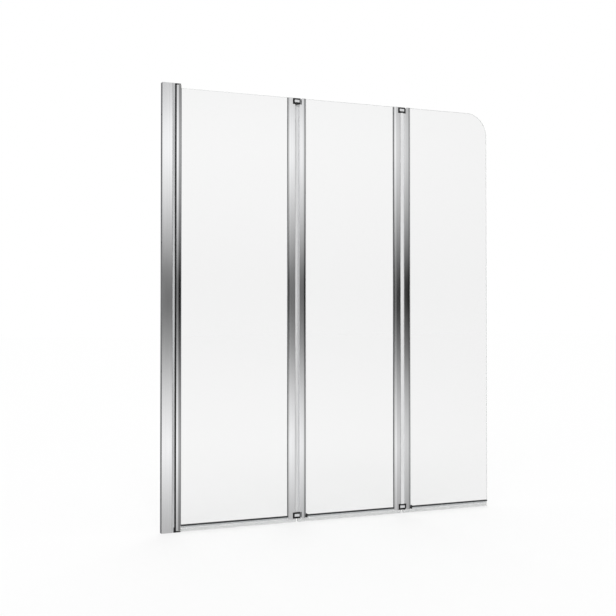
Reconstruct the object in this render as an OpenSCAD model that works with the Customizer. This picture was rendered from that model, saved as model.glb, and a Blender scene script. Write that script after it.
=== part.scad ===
// Folding bath screen: three glass panels in line, hung on a wall channel.
// Millimetres. X runs from the wall along the screen, Y towards the bath, Z up from the bath rim.
// The origin is on the channel's wall face, in the plane of the glass, at the level of the rim.

/* [Screen] */
// Width from the wall face to the free edge, with the panels in line
screen_w = 1200; // [1150:5:1240]
// Height of the wall channel above the bath rim
screen_h = 1400; // [1200:10:1600]
// Wall face to the middle of the first fold
fold_1_x = 460.5; // [455:0.5:470]
// Wall face to the middle of the second fold
fold_2_x = 855; // [840:0.5:862]

/* [Glass] */
// Thickness of the toughened glass
glass_t = 5; // [4:0.5:5]
// Rim to the lower edge of the glass
glass_bottom = 20; // [18:1:26]
// How far the glass stays below the top of the wall channel
glass_drop = 13; // [10:1:30]
// Radius of the free top corner
corner_r = 80; // [20:5:200]

/* [Wall side] */
// Depth of the wall channel from the wall to its mouth
channel_w = 34; // [33:0.5:36]
// Thickness of the wall channel across the screen
channel_t = 16; // [16:0.5:20]
// Wall face to the swing axis
pivot_x = 57.5; // [57:0.1:62]
// Radius of the tube that turns on the swing axis
tube_r = 7; // [6.5:0.1:7]
// Radius of a hole for a wall screw
wall_screw_r = 2.75; // [2:0.25:3.5]
// Height of the lowest wall screw
wall_screw_z = 100; // [60:10:150]
// Distance between neighbouring wall screws
wall_screw_pitch = 400; // [300:10:400]

/* [Folds] */
// Width of a clamp profile
clamp_w = 25; // [24:0.5:28]
// Thickness of a clamp profile
clamp_t = 14; // [14:0.5:16]
// Radius of the round nose on the glass side of a clamp
clamp_edge_r = 6.8; // [3:0.1:6.9]
// Middle of a fold to the end face of a clamp
fold_gap = 7.5; // [7:0.1:8]
// Middle of a fold to a hinge pin
pin_offset = 10.5; // [10.5:0.1:11]
// Radius of a hinge pin
pin_r = 1.75; // [1.5:0.05:1.8]
// Height of a link block
block_h = 19.5; // [16:0.5:24]
// Thickness of a link block
block_t = 10; // [7:0.2:10]

/* [Bottom seal] */
// Thickness of the dark rail on the lower edge of the glass
rail_t = 9; // [8:0.5:11]
// Height of the dark rail
rail_h = 4.5; // [4.5:0.5:8]
// Half the spread of the two fins at the rim
fin_reach = 6; // [4:0.5:6.5]

/* [Hidden] */
$fn = 64;

// Fits and gaps
running_gap = 0.05;   // a pin in its bush
press_gap = 0.02;     // a pin or bush in the part that grips it
slide_gap = 0.2;      // a profile inside a profile
swing_gap = 0.4;      // parts that pass each other as the screen folds
cut = 1;              // how far a cutter runs past what it cuts

// Heights
glass_top = screen_h - glass_drop;
clamp_bottom = 12;
block_bottom_z = clamp_bottom;
block_top_drop = 0.4;
block_top_z = glass_top - block_top_drop - block_h;
bush_space = 0.9;     // from a link block to the clamp's notched end, for the bush's flange
notch_h = block_bottom_z + block_h + bush_space;
notch_top_z = block_top_z - bush_space;

// Wall channel and the profile that slides in it
channel_web = 2;
channel_leg = 1.6;
channel_edge_r = 1.2;
channel_in_t = channel_t - 2 * channel_leg;
cap_t = 1.5;
cap_plug_h = 12;
wall_screw_count = 4;
slide_t = channel_in_t - 2 * slide_gap;
slide_x = 8;
slide_wall = 1.5;
nose_step = 0.5;      // from the channel's mouth to the wide part of the sliding profile
nose_w = 8;
nose_x = channel_w + nose_step;
nose_end = nose_x + nose_w;
nose_t = 14;
nose_wall = 1.5;
nose_edge_r = 0.8;
nose_slot_t = 3.2;

// Screws that lock the sliding profile, on the bath side
lock_screw_x = 21;
lock_screw_end = 60;
lock_screw_zs = [lock_screw_end, screen_h / 2, screen_h - lock_screw_end];
lock_shank_r = 1.9;
lock_head_r = 3.6;
lock_head_h = 1.8;
lock_shank_len = 6;
cross_l = 4;
cross_w = 0.8;
cross_d = 0.9;
cover_r = 5.4;
cover_h = 3.2;
cover_wall = 1;
cover_slope_h = 1;
cover_slope_in = 1.2;

// Pivot bearings on the sliding profile
arm_t = 3.5;
washer_t = 0.8;
washer_r = 6;
pivot_pin_r = 2;
pivot_pin_skin = 0.8; // what an arm leaves over the end of its pin
pivot_pin_gap = 2;    // from a pin to the glass
tongue_x = nose_x + nose_wall + slide_gap;
tongue_end = 38.5;
tongue_t = nose_t - 2 * nose_wall - 2 * slide_gap;
tongue_h = 45;
bearing_block_x = 38.4;
bearing_block_end = 45.5;
bearing_block_h = 16;
bearing_arm_t = 13;
arm_top_t = nose_t - 2 * nose_wall - slide_gap;
end_play = 0.3;
tube_bottom = arm_t + washer_t + end_play;
tube_top = screen_h - tube_bottom;

// Seal strip between the sliding profile and the tube
wall_seal_root_x = 39;
wall_seal_root_t = 7;
wall_seal_face_x = 50.3;
wall_seal_face_t = 4;

// Glass in its slots
gasket_wall = 0.9;
slot_t = glass_t + 2 * gasket_wall;
gasket_web = 1;
tube_slot_in = 3.7;
tube_slot_x = pivot_x - tube_slot_in;
tube_gasket_recess = 1.2;
plug_gap = 0.5;
clamp_out = fold_gap + clamp_w;
clamp_slot_d = 13.1;
clamp_slot_x = clamp_out - clamp_slot_d;
glass_inset = clamp_slot_x + gasket_web;
gasket_recess = 0.2;
bush_wall = 0.85;
port_r = pin_r + bush_wall;
notch_x = pin_offset + block_t / 2 + swing_gap;
chamber_x = 14.3;     // hollow of the extrusion, from the fold's middle
chamber_w = 4.2;
chamber_t = 11;
clamp_end_r = 0.6;

// Hinge pins, bushes and link
bush_h = 20;
bush_flange_r = 2.95;
bush_flange_t = 0.5;
bush_r = port_r - press_gap;
block_half_l = 13.5;
block_corner_r = 2.5;
block_skin = 2;       // what a link block leaves over the end of a pin
pin_in_block = block_h - block_skin;
pin_out = 19;
inset_w = 15.5;
inset_h = 9.5;
inset_t = 0.8;
strip_w = 12;
strip_in = pin_offset - fold_gap + swing_gap;
strip_out = clamp_t / 2 - slide_gap;
shoulder_h = 4;
shoulder_in = 0.5;    // how far the shoulder reaches into the block
lug_w = 4;
lug_t = 1.8;
lug_h = 15;

// Bottom seals
rail_floor = 2.5;
rail_z = glass_bottom - rail_floor;
groove_h = 0.8;       // both of the groove's neck and of its wide part
lip_head_t = 4.4;
lip_stem_t = 2.2;
lip_split_z = 11;
lip_stem_in = 0.5;    // how far the stem reaches into the split
fin_root_h = 2.4;
fin_tip = 0.4;
fin_t = 1.2;
stop_w = 5;
stop_t = 11;
stop_z = 12.5;
stop_top = 25;
tube_seal_gap = 0.8;
free_end_gap = 1;
seal_gap = 0.3;
fin_end_gap = 2.5;    // from the middle of a fold to the fins
seal_start_1 = pivot_x + tube_r + tube_seal_gap;
seal_end_1 = fold_1_x - clamp_out - seal_gap;
run_end_1 = fold_1_x - fin_end_gap;
run_start_2 = fold_1_x + fin_end_gap;
seal_start_2 = fold_1_x + clamp_out + seal_gap + stop_w;
seal_end_2 = fold_2_x - clamp_out - seal_gap;
run_end_2 = fold_2_x - fin_end_gap;
run_start_3 = fold_2_x + fin_end_gap;
seal_start_3 = fold_2_x + clamp_out + seal_gap + stop_w;
seal_end_3 = screen_w - free_end_gap;

fold_x = [fold_1_x, fold_2_x];
// The strip of a link lies on the side away from which its fold closes: bath side, then room side
strip_side = [1, -1];

// ---------- shapes used more than once ----------

// A rectangle centred on the X axis from x0 to x1, with its far corners rounded
module end_rounded(x0, x1, t, r) {
    translate([x0, -t / 2]) square([x1 - x0 - r, t]);
    translate([x0, -t / 2 + r]) square([x1 - x0, t - 2 * r]);
    for (s = [-1, 1])
        translate([x1 - r, s * (t / 2 - r)]) circle(r = r);
}

// A rectangle centred on the X axis from x0 to x1
module bar(x0, x1, t) {
    translate([x0, -t / 2]) square([x1 - x0, t]);
}

// A solid block centred on the X axis, between two heights
module bar_block(x0, x1, t, z0, z1) {
    translate([x0, -t / 2, z0]) cube([x1 - x0, t, z1 - z0]);
}

// A plain rod or hole along Z, between two heights
module post(r, z0, z1) {
    translate([0, 0, z0]) cylinder(r = r, h = z1 - z0);
}

// What lies to the right of a fold, or its mirror image to the left
module fold_side(fold, side) {
    translate([fold_x[fold], 0, 0]) mirror([side < 0 ? 1 : 0, 0, 0]) children();
}

// A section drawn in Y and Z, run along X
module along_x(x0, x1) {
    translate([x0, 0, 0]) rotate([90, 0, 90]) linear_extrude(x1 - x0) children();
}

// ---------- wall frame ----------

module wall_channel() {
    color("silver") difference() {
        linear_extrude(screen_h - cap_t) difference() {
            end_rounded(0, channel_w, channel_t, channel_edge_r);
            bar(channel_web, channel_w + cut, channel_in_t);
        }
        for (i = [0 : wall_screw_count - 1])
            translate([-cut, 0, wall_screw_z + i * wall_screw_pitch])
                rotate([0, 90, 0]) cylinder(r = wall_screw_r, h = channel_web + 2 * cut);
        for (z = lock_screw_zs)
            translate([lock_screw_x, channel_t / 2 + cut, z])
                rotate([90, 0, 0]) cylinder(r = lock_shank_r + slide_gap, h = channel_leg + 2 * cut);
    }
}

module channel_cap() {
    color("silver") {
        translate([0, 0, screen_h - cap_t]) linear_extrude(cap_t)
            end_rounded(0, channel_w, channel_t, channel_edge_r);
        bar_block(channel_web + slide_gap, slide_x - slide_gap, channel_in_t - 2 * slide_gap,
            screen_h - cap_t - cap_plug_h, screen_h - cap_t);
    }
}

module adjusting_profile() {
    color("gainsboro") difference() {
        union() {
            linear_extrude(screen_h - cap_t) difference() {
                bar(slide_x, nose_x, slide_t);
                bar(slide_x - cut, nose_x - slide_wall, slide_t - 2 * slide_wall);
            }
            linear_extrude(screen_h) difference() {
                end_rounded(nose_x, nose_end, nose_t, nose_edge_r);
                bar(nose_x + nose_wall, nose_end - nose_wall, nose_t - 2 * nose_wall);
                bar(nose_end - nose_wall - cut, nose_end + cut, nose_slot_t);
            }
        }
        bar_block(bearing_block_x, nose_end + cut, nose_t + cut, -cut, bearing_block_h + slide_gap);
        bar_block(nose_end - nose_wall - cut, nose_end + cut, nose_t - 2 * nose_wall,
            screen_h - arm_t - slide_gap, screen_h + cut);
        for (z = lock_screw_zs)
            translate([lock_screw_x, slide_t / 2 + cut, z])
                rotate([90, 0, 0]) cylinder(r = lock_shank_r + press_gap, h = slide_wall + 2 * cut);
    }
}

module adjusting_screws() {
    color("gray") for (z = lock_screw_zs)
        translate([lock_screw_x, channel_t / 2, z]) rotate([-90, 0, 0]) {
            translate([0, 0, -lock_shank_len]) cylinder(r = lock_shank_r, h = lock_shank_len);
            difference() {
                cylinder(r = lock_head_r, h = lock_head_h);
                for (a = [0, 90])
                    rotate([0, 0, a]) translate([-cross_l / 2, -cross_w / 2, lock_head_h - cross_d])
                        cube([cross_l, cross_w, cross_d + cut]);
            }
        }
}

module screw_covers() {
    color("silver") for (z = lock_screw_zs)
        translate([lock_screw_x, channel_t / 2, z]) rotate([-90, 0, 0]) difference() {
            union() {
                cylinder(r = cover_r, h = cover_h - cover_slope_h);
                translate([0, 0, cover_h - cover_slope_h])
                    cylinder(r1 = cover_r, r2 = cover_r - cover_slope_in, h = cover_slope_h);
            }
            translate([0, 0, -cut]) cylinder(r = cover_r - cover_wall, h = cover_h - cover_wall + cut);
        }
}

module wall_seal_strip() {
    color("black") translate([0, 0, bearing_block_h + slide_gap])
        linear_extrude(screen_h - arm_t - bearing_block_h - 3 * slide_gap) difference() {
            union() {
                bar(wall_seal_root_x, nose_end - nose_wall - slide_gap, wall_seal_root_t);
                bar(wall_seal_root_x, nose_end + cut, nose_slot_t - 2 * press_gap);
                bar(nose_end, wall_seal_face_x, wall_seal_face_t);
            }
            translate([pivot_x, 0]) circle(r = tube_r + swing_gap);
        }
}

// The arm that reaches from a bearing to the swing axis
module bearing_arm(x0, t, z0) {
    bar_block(x0, pivot_x, t, z0, z0 + arm_t);
    translate([pivot_x, 0, 0]) post(t / 2, z0, z0 + arm_t);
}

module pivot_bearing_bottom() {
    color("black") difference() {
        union() {
            bar_block(tongue_x, tongue_end, tongue_t, 0, tongue_h);
            bar_block(bearing_block_x, bearing_block_end, nose_t, 0, bearing_block_h);
            bearing_arm(bearing_block_x, bearing_arm_t, 0);
        }
        translate([pivot_x, 0, 0]) post(pivot_pin_r + press_gap, pivot_pin_skin, arm_t + cut);
    }
}

module pivot_bearing_top() {
    color("black") difference() {
        union() {
            bar_block(tongue_x, tongue_end, tongue_t, screen_h - tongue_h, screen_h);
            bearing_arm(tongue_end - cut, arm_top_t, screen_h - arm_t);
        }
        translate([pivot_x, 0, 0])
            post(pivot_pin_r + press_gap, screen_h - arm_t - cut, screen_h - pivot_pin_skin);
    }
}

module pivot_pins() {
    color("dimgray") translate([pivot_x, 0, 0]) {
        post(pivot_pin_r, pivot_pin_skin, glass_bottom - pivot_pin_gap);
        post(pivot_pin_r, glass_top + pivot_pin_gap, screen_h - pivot_pin_skin);
    }
}

module pivot_washers() {
    color("white") translate([pivot_x, 0, 0]) for (z = [arm_t, screen_h - arm_t - washer_t])
        difference() {
            post(washer_r, z, z + washer_t);
            post(pivot_pin_r + running_gap, z - cut, z + washer_t + cut);
        }
}

// ---------- glass, gaskets and clamps ----------

module pivot_tube() {
    color("silver") translate([0, 0, tube_bottom]) linear_extrude(tube_top - tube_bottom) difference() {
        translate([pivot_x, 0]) circle(r = tube_r);
        bar(tube_slot_x, pivot_x + tube_r + cut, slot_t);
    }
}

// Plugs that fill the slot above and below the glass and turn on the pivot pins
module pivot_bushes() {
    color("white") for (z = [[tube_bottom, glass_bottom - plug_gap], [glass_top + plug_gap, tube_top]])
        difference() {
            translate([0, 0, z[0]]) linear_extrude(z[1] - z[0]) intersection() {
                translate([pivot_x, 0]) circle(r = tube_r - 0.1);
                bar(tube_slot_x, pivot_x + tube_r, slot_t);
            }
            translate([pivot_x, 0, 0]) post(pivot_pin_r + running_gap, z[0] - cut, z[1] + cut);
        }
}

// A channel of rubber round the edge of the glass, from its closed side at x0 to its mouth at x1
module gasket(x0, x1) {
    color("darkgray") translate([0, 0, glass_bottom]) linear_extrude(glass_top - glass_bottom)
        difference() {
            bar(x0, x1, slot_t);
            bar(x0 + gasket_web, x1 + cut, glass_t);
        }
}

module gasket_1_wall() {
    gasket(tube_slot_x, pivot_x + tube_r - tube_gasket_recess);
}

module clamp_gasket(fold, side) {
    fold_side(fold, side) gasket(clamp_slot_x, clamp_out - gasket_recess);
}

module clamp_section() {
    mid = (fold_gap + clamp_out) / 2;
    difference() {
        union() {
            end_rounded(mid, clamp_out, clamp_t, clamp_edge_r);
            translate([2 * mid, 0]) mirror([1, 0]) end_rounded(mid, clamp_out, clamp_t, clamp_end_r);
        }
        bar(clamp_slot_x, clamp_out + cut, slot_t);
        bar(chamber_x, chamber_x + chamber_w, chamber_t);
        translate([pin_offset, 0]) circle(r = port_r);
    }
}

// A profile that holds one edge of the glass, cut back at both ends for the link blocks
module fold_clamp(fold, side) {
    color("silver") fold_side(fold, side) difference() {
        translate([0, 0, clamp_bottom]) linear_extrude(glass_top - clamp_bottom) clamp_section();
        bar_block(fold_gap - cut, notch_x, clamp_t + cut, 0, notch_h);
        bar_block(fold_gap - cut, notch_x, clamp_t + cut, notch_top_z, glass_top + cut);
    }
}

// Two bushes with a flange towards the link block
module clamp_bushes(fold, side) {
    color("white") fold_side(fold, side) translate([pin_offset, 0, 0]) {
        difference() {
            union() {
                post(bush_r, notch_h, notch_h + bush_h);
                post(bush_flange_r, notch_h - bush_flange_t, notch_h);
            }
            post(pin_r + running_gap, notch_h - cut, notch_h + bush_h + cut);
        }
        difference() {
            union() {
                post(bush_r, notch_top_z - bush_h, notch_top_z);
                post(bush_flange_r, notch_top_z, notch_top_z + bush_flange_t);
            }
            post(pin_r + running_gap, notch_top_z - bush_h - cut, notch_top_z + cut);
        }
    }
}

module glass_pane(x0, x1) {
    color("white", 0.35) bar_block(x0, x1, glass_t, glass_bottom, glass_top);
}

module glass_1() {
    glass_pane(tube_slot_x + gasket_web, fold_1_x - glass_inset);
}

module glass_2() {
    glass_pane(fold_1_x + glass_inset, fold_2_x - glass_inset);
}

module glass_3() {
    color("white", 0.35) difference() {
        bar_block(fold_2_x + glass_inset, screen_w, glass_t, glass_bottom, glass_top);
        translate([screen_w - corner_r, 0, glass_top - corner_r]) rotate([90, 0, 0])
            translate([0, 0, -glass_t]) difference() {
                cube([corner_r + cut, corner_r + cut, 2 * glass_t]);
                translate([0, 0, -cut]) cylinder(r = corner_r, h = 2 * glass_t + 2 * cut, $fn = 128);
            }
    }
}

// ---------- links ----------

module block_outline() {
    end_rounded(0, block_half_l, block_t, block_corner_r);
    mirror([1, 0]) end_rounded(0, block_half_l, block_t, block_corner_r);
}

// A link block from z0 up; its open end, where the pins and the lug stand, is at the top or the bottom
module link_block(fold, z0, open_up) {
    open_z = open_up ? z0 + block_h : z0;
    way = open_up ? 1 : -1;
    side = strip_side[fold];
    color("black") translate([fold_x[fold], 0, 0]) {
        difference() {
            translate([0, 0, z0]) linear_extrude(block_h) block_outline();
            for (s = [-1, 1])
                translate([s * pin_offset, 0, open_z - way * pin_in_block / 2])
                    cylinder(r = pin_r + press_gap, h = pin_in_block + 2 * press_gap, center = true);
            for (s = [-1, 1])
                translate([-inset_w / 2, s * (block_t - inset_t) / 2 - inset_t / 2 - (s < 0 ? cut : 0),
                    z0 + (block_h - inset_h) / 2]) cube([inset_w, inset_t + cut, inset_h]);
        }
        // the shoulder that the strip stands on, and the lug inside the strip
        translate([-strip_w / 2, side > 0 ? block_t / 2 - shoulder_in : -strip_out,
            open_up ? open_z - shoulder_h : open_z])
            cube([strip_w, strip_out - block_t / 2 + shoulder_in, shoulder_h]);
        translate([-lug_w / 2, side * (strip_in + strip_out) / 2 - lug_t / 2,
            open_up ? open_z : open_z - lug_h]) cube([lug_w, lug_t, lug_h]);
    }
}

// Face plates let into the two flat sides of each block
module link_insets(fold) {
    color("lightgray") translate([fold_x[fold], 0, 0])
        for (z0 = [block_bottom_z, block_top_z], s = [-1, 1])
            translate([-inset_w / 2, s * (block_t - inset_t) / 2 - inset_t / 2,
                z0 + (block_h - inset_h) / 2])
                cube([inset_w, inset_t, inset_h]);
}

module link_pins(fold) {
    color("dimgray") for (s = [-1, 1])
        translate([fold_x[fold] + s * pin_offset, 0, 0]) {
            post(pin_r, block_bottom_z + block_h - pin_in_block, block_bottom_z + block_h + pin_out);
            post(pin_r, block_top_z - pin_out, block_top_z + pin_in_block);
        }
}

module link_strip(fold) {
    color("gainsboro") translate([fold_x[fold], 0, block_bottom_z + block_h])
        linear_extrude(block_top_z - block_bottom_z - block_h) difference() {
            translate([0, strip_side[fold] * (strip_in + strip_out) / 2])
                square([strip_w, strip_out - strip_in], center = true);
            translate([0, strip_side[fold] * (strip_in + strip_out) / 2])
                square([lug_w + 2 * press_gap, lug_t + 2 * press_gap], center = true);
        }
}

// ---------- bottom seals ----------

// A stiff rail pushed onto the lower edge of the glass, with a groove below for the fins
module seal_rail(x0, x1) {
    color("dimgray") along_x(x0, x1) difference() {
        translate([-rail_t / 2, rail_z]) square([rail_t, rail_h]);
        translate([-glass_t / 2, glass_bottom]) square([glass_t, rail_h]);
        translate([-lip_stem_t / 2, rail_z - cut]) square([lip_stem_t, groove_h + cut]);
        translate([-lip_head_t / 2, rail_z + groove_h]) square([lip_head_t, groove_h]);
    }
}

// Two soft fins that spread to the rim
module lip_fins() {
    polygon([
        [lip_stem_t / 2, lip_split_z], [fin_reach, fin_tip], [fin_reach - fin_t, 0],
        [0, lip_split_z - fin_root_h],
        [-fin_reach + fin_t, 0], [-fin_reach, fin_tip], [-lip_stem_t / 2, lip_split_z]
    ]);
}

// The fins run on below the clamps from run0 to run1, and hang in the rail from x0 to x1
module seal_lip(run0, x0, x1, run1) {
    color("whitesmoke") {
        along_x(x0, x1) {
            translate([-lip_stem_t / 2, lip_split_z - lip_stem_in])
                square([lip_stem_t, rail_z + groove_h - lip_split_z + lip_stem_in]);
            translate([-lip_head_t / 2, rail_z + groove_h]) square([lip_head_t, groove_h]);
        }
        along_x(run0, run1) lip_fins();
    }
}

// A moulded stop that closes the near end of a seal, beside the clamp
module seal_stop(fold) {
    color("black") translate([fold_x[fold] + clamp_out + seal_gap, 0, 0]) difference() {
        bar_block(0, stop_w, stop_t, stop_z, stop_top);
        bar_block(-cut, stop_w + cut, glass_t, glass_bottom, stop_top + cut);
    }
}

wall_channel();
channel_cap();
adjusting_profile();
adjusting_screws();
screw_covers();
wall_seal_strip();
pivot_bearing_bottom();
pivot_bearing_top();
pivot_pins();
pivot_washers();

pivot_tube();
pivot_bushes();
gasket_1_wall();
glass_1();
clamp_gasket(0, -1);  // gasket_1_fold
fold_clamp(0, -1);  // clamp_1_fold
clamp_bushes(0, -1);  // bushes_1
seal_rail(seal_start_1, seal_end_1);  // seal_rail_1
seal_lip(seal_start_1, seal_start_1, seal_end_1, run_end_1);  // seal_lip_1

link_block(0, block_bottom_z, true);  // link_1_block_bottom
link_block(0, block_top_z, false);  // link_1_block_top
link_insets(0);  // link_1_insets
link_pins(0);  // link_1_pins
link_strip(0);  // link_1_strip

fold_clamp(0, 1);  // clamp_2_near
fold_clamp(1, -1);  // clamp_2_far
clamp_gasket(0, 1);  // gasket_2_near
clamp_gasket(1, -1);  // gasket_2_far
glass_2();
union() {  // bushes_2
    clamp_bushes(0, 1);
    clamp_bushes(1, -1);
}
seal_rail(seal_start_2, seal_end_2);  // seal_rail_2
seal_lip(run_start_2, seal_start_2, seal_end_2, run_end_2);  // seal_lip_2
seal_stop(0);  // seal_stop_2

link_block(1, block_bottom_z, true);  // link_2_block_bottom
link_block(1, block_top_z, false);  // link_2_block_top
link_insets(1);  // link_2_insets
link_pins(1);  // link_2_pins
link_strip(1);  // link_2_strip

fold_clamp(1, 1);  // clamp_3_near
clamp_gasket(1, 1);  // gasket_3_near
glass_3();
clamp_bushes(1, 1);  // bushes_3
seal_rail(seal_start_3, seal_end_3);  // seal_rail_3
seal_lip(run_start_3, seal_start_3, seal_end_3, seal_end_3);  // seal_lip_3
seal_stop(1);  // seal_stop_3
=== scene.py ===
from math import radians

import bmesh
import bpy
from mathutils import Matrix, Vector


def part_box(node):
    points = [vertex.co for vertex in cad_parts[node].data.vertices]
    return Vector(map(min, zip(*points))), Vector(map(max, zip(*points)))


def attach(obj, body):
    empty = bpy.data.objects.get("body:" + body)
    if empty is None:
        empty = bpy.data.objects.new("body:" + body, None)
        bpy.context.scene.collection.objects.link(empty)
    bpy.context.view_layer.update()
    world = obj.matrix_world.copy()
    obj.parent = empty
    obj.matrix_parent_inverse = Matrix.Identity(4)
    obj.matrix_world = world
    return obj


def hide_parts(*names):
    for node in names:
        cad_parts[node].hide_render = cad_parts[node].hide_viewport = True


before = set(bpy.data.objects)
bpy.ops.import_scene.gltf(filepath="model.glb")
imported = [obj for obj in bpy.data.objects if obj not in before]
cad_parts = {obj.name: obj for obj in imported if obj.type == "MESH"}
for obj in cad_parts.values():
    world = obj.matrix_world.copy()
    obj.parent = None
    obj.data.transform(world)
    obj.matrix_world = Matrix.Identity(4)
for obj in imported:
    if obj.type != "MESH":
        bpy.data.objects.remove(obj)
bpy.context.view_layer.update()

# ---------- sizes in metres ----------
# X runs along the screen from the wall, -Y is the room side, and Z is the height over the rim of
# the bath. The sizes are the CAD source's, apart from those that are called the scene's own.
MM = 0.001
HAIR = 0.01 * MM                    # lengths that differ by less are the same
WELD = 0.001 * MM                   # vertices closer than this are one
PAST = 1 * MM                       # how far a cutter reaches past a face
CUT_HALF = 10 * MM                  # and to both sides of the glass, where it cuts right through
SCREEN_H = 1400 * MM

FOLDS = (460.5 * MM, 855 * MM)      # middles of the two folds
FOLD_GAP = 7.5 * MM                 # fold's middle to the end face of a clamp
CLAMP_OUT = 32.5 * MM               # fold's middle to the nose of a clamp
CLAMP_HALF = 7 * MM
CLAMP_BOTTOM = 12 * MM
NOSE_R = 6.8 * MM                   # half the thickness of a clamp's round nose
NOSE_L = 9 * MM                     # length of that nose, the scene's own
HOLLOW_X = (14.3 * MM, 18.5 * MM)   # fold's middle to both ends of a clamp's hollow
HOLLOW_HALF = 5.5 * MM
NOTCH_X = 15.9 * MM                 # clamps are cut back to here for the link blocks
NOTCH_ENDS = (32.4 * MM, 1366.2 * MM)

SLOT_X = 19.4 * MM                  # fold's middle to the floor of the glass slot
SLOT_HALF = 3.4 * MM
GLASS_HALF = 2.5 * MM
GLASS_BOTTOM = 20 * MM
GLASS_TOP = 1387 * MM
CORNER_R = 80 * MM                  # the last pane's free corner

PIVOT_X = 57.5 * MM                 # the swing axis
TUBE_R = 7 * MM
TUBE_SLOT_X = 53.8 * MM
TUBE_ENDS = (4.6 * MM, 1395.4 * MM)
TUBE_NOSE_L = 13.2 * MM             # length of its nose, the scene's own like its lip
LIP_X = 46.7 * MM                   # where the lip ends toward the wall
LIP_BACK = -5 * MM

WALL_SCREWS = (100 * MM, 500 * MM, 900 * MM, 1300 * MM)     # their heights
LOCK_SCREWS = (60 * MM, 700 * MM, 1340 * MM)    # heights of those that lock the sliding profile
LOCK_X = 21 * MM
CAP_T = 1.5 * MM
ARM_T = 3.7 * MM                    # a bearing's arm and its gap

BLOCK_H = 19.5 * MM
BLOCK_BOTTOMS = (12 * MM, 1367.1 * MM)
BLOCK_HALF = 5 * MM
BLOCK_END = 13.5 * MM               # fold's middle to the end of a link block
PLATE_X = (-8.2 * MM, 9.1 * MM)     # ends of a face plate from its block's middle, the scene's own
PLATE_Z = (-3.8 * MM, 4.7 * MM)
PLATE_Y = (4.2 * MM, 5.05 * MM)     # floor of its recess, and its face
PLATE_GAP = 0.1 * MM
STRIP_SIDES = (1, -1)               # which way each link's strip lies in Y

GROOVE_H = 0.8 * MM                 # of a rail's neck for the fins' stem, and of the hollow over it
STEM_HALF = 1.1 * MM
HEAD_HALF = 2.2 * MM                # of that hollow, which holds the stem's head

ALONG_X = (0, radians(90), 0)       # turns of an upright cylinder
ALONG_Y = (radians(90), 0, 0)
ALONG_Y_BACK = (radians(-90), 0, 0)


# ---------- colours and nodes ----------

def srgb(code):
    """Turns a hex colour as a designer writes it to the linear colour that a shader reads."""
    parts = [int(code[i:i + 2], 16) / 255 for i in (1, 3, 5)]
    linear = [p / 12.92 if p <= 0.04045 else ((p + 0.055) / 1.055) ** 2.4 for p in parts]
    return (*linear, 1.0)


def node(tree, kind, sockets=None, **settings):
    """Adds a node, sets it, and fills its sockets with values or with links from other nodes."""
    made = tree.nodes.new(kind)
    for name, value in settings.items():
        setattr(made, name, value)
    for name, value in (sockets or {}).items():
        if isinstance(value, bpy.types.NodeSocket):
            tree.links.new(value, made.inputs[name])
        else:
            made.inputs[name].default_value = value
    return made


def maths(tree, operation, *values):
    """A sum or a function of one or two values."""
    return node(tree, "ShaderNodeMath", dict(enumerate(values)), operation=operation).outputs[0]


def map_range(tree, value, from_low, from_high, to_low=0.0, to_high=1.0):
    """Maps a value from one range to another, and holds it at both ends."""
    return node(tree, "ShaderNodeMapRange", {"Value": value, "From Min": from_low,
                                             "From Max": from_high, "To Min": to_low,
                                             "To Max": to_high}).outputs[0]


def blend(tree, factor, first, second, blend_type="MIX"):
    """Goes from the first colour to the second one by the factor."""
    return node(tree, "ShaderNodeMix", {0: factor, 6: first, 7: second}, data_type="RGBA",
                blend_type=blend_type).outputs[2]


def blank_material(name):
    """A material with an empty tree."""
    finish = bpy.data.materials.new(name)
    finish.use_nodes = True
    finish.node_tree.nodes.clear()
    return finish, finish.node_tree


def grain(tree, size_mm, detail=2.0):
    """Noise on the object's own coordinates, with the grains' sizes along x, y and z."""
    place = node(tree, "ShaderNodeTexCoord")
    scale = tuple(1 / (s * MM) for s in size_mm)
    space = node(tree, "ShaderNodeMapping", {"Vector": place.outputs["Object"], "Scale": scale})
    return node(tree, "ShaderNodeTexNoise", {"Vector": space.outputs[0], "Scale": 1.0,
                                             "Detail": detail}).outputs["Fac"]


def spread(tree, noise, low, high):
    """Maps noise, which mostly lies between 0.3 and 0.7, to the range from low to high."""
    return map_range(tree, noise, 0.3, 0.7, low, high)


def tint(tree, noise, low, high):
    """Blends two hex colours by noise."""
    return blend(tree, spread(tree, noise, 0.0, 1.0), srgb(low), srgb(high))


def relief(tree, noise, strength, depth_mm):
    """Turns noise into fine relief."""
    return node(tree, "ShaderNodeBump", {"Height": noise, "Strength": strength,
                                         "Distance": depth_mm * MM}).outputs[0]


def surface(tree, sockets):
    """The Principled shader and the output."""
    skin = node(tree, "ShaderNodeBsdfPrincipled", sockets)
    node(tree, "ShaderNodeOutputMaterial", {"Surface": skin.outputs[0]})


def grained(name, grain_mm, detail, colours, roughness, bump, **sockets):
    """A material whose colour, roughness and relief follow one grain. The bump is the relief's
    strength and its depth in millimetres."""
    finish, tree = blank_material(name)
    noise = grain(tree, grain_mm, detail)
    surface(tree, {"Base Color": tint(tree, noise, *colours),
                   "Roughness": spread(tree, noise, *roughness),
                   "Normal": relief(tree, noise, *bump), **sockets})
    return finish


# ---------- materials ----------

def bright_anodised_aluminium():
    """Extruded, chemically brightened and anodised: mirrors the studio almost like chrome, with a
    slightly cloudy gloss."""
    finish, tree = blank_material("bright_anodised_aluminium")
    # Die lines are a few tenths of a millimetre apart. They are drawn 2.5 mm apart, because finer
    # ones don't show.
    lines = grain(tree, (2.5, 2.5, 900))
    cloud = grain(tree, (25, 25, 160), 3.0)
    surface(tree, {"Base Color": tint(tree, lines, "#F1F2F3", "#FAFAFB"), "Metallic": 1.0,
                   "Roughness": spread(tree, cloud, 0.06, 0.1),
                   "Normal": relief(tree, lines, 0.04, 0.1)})
    return finish


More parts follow.
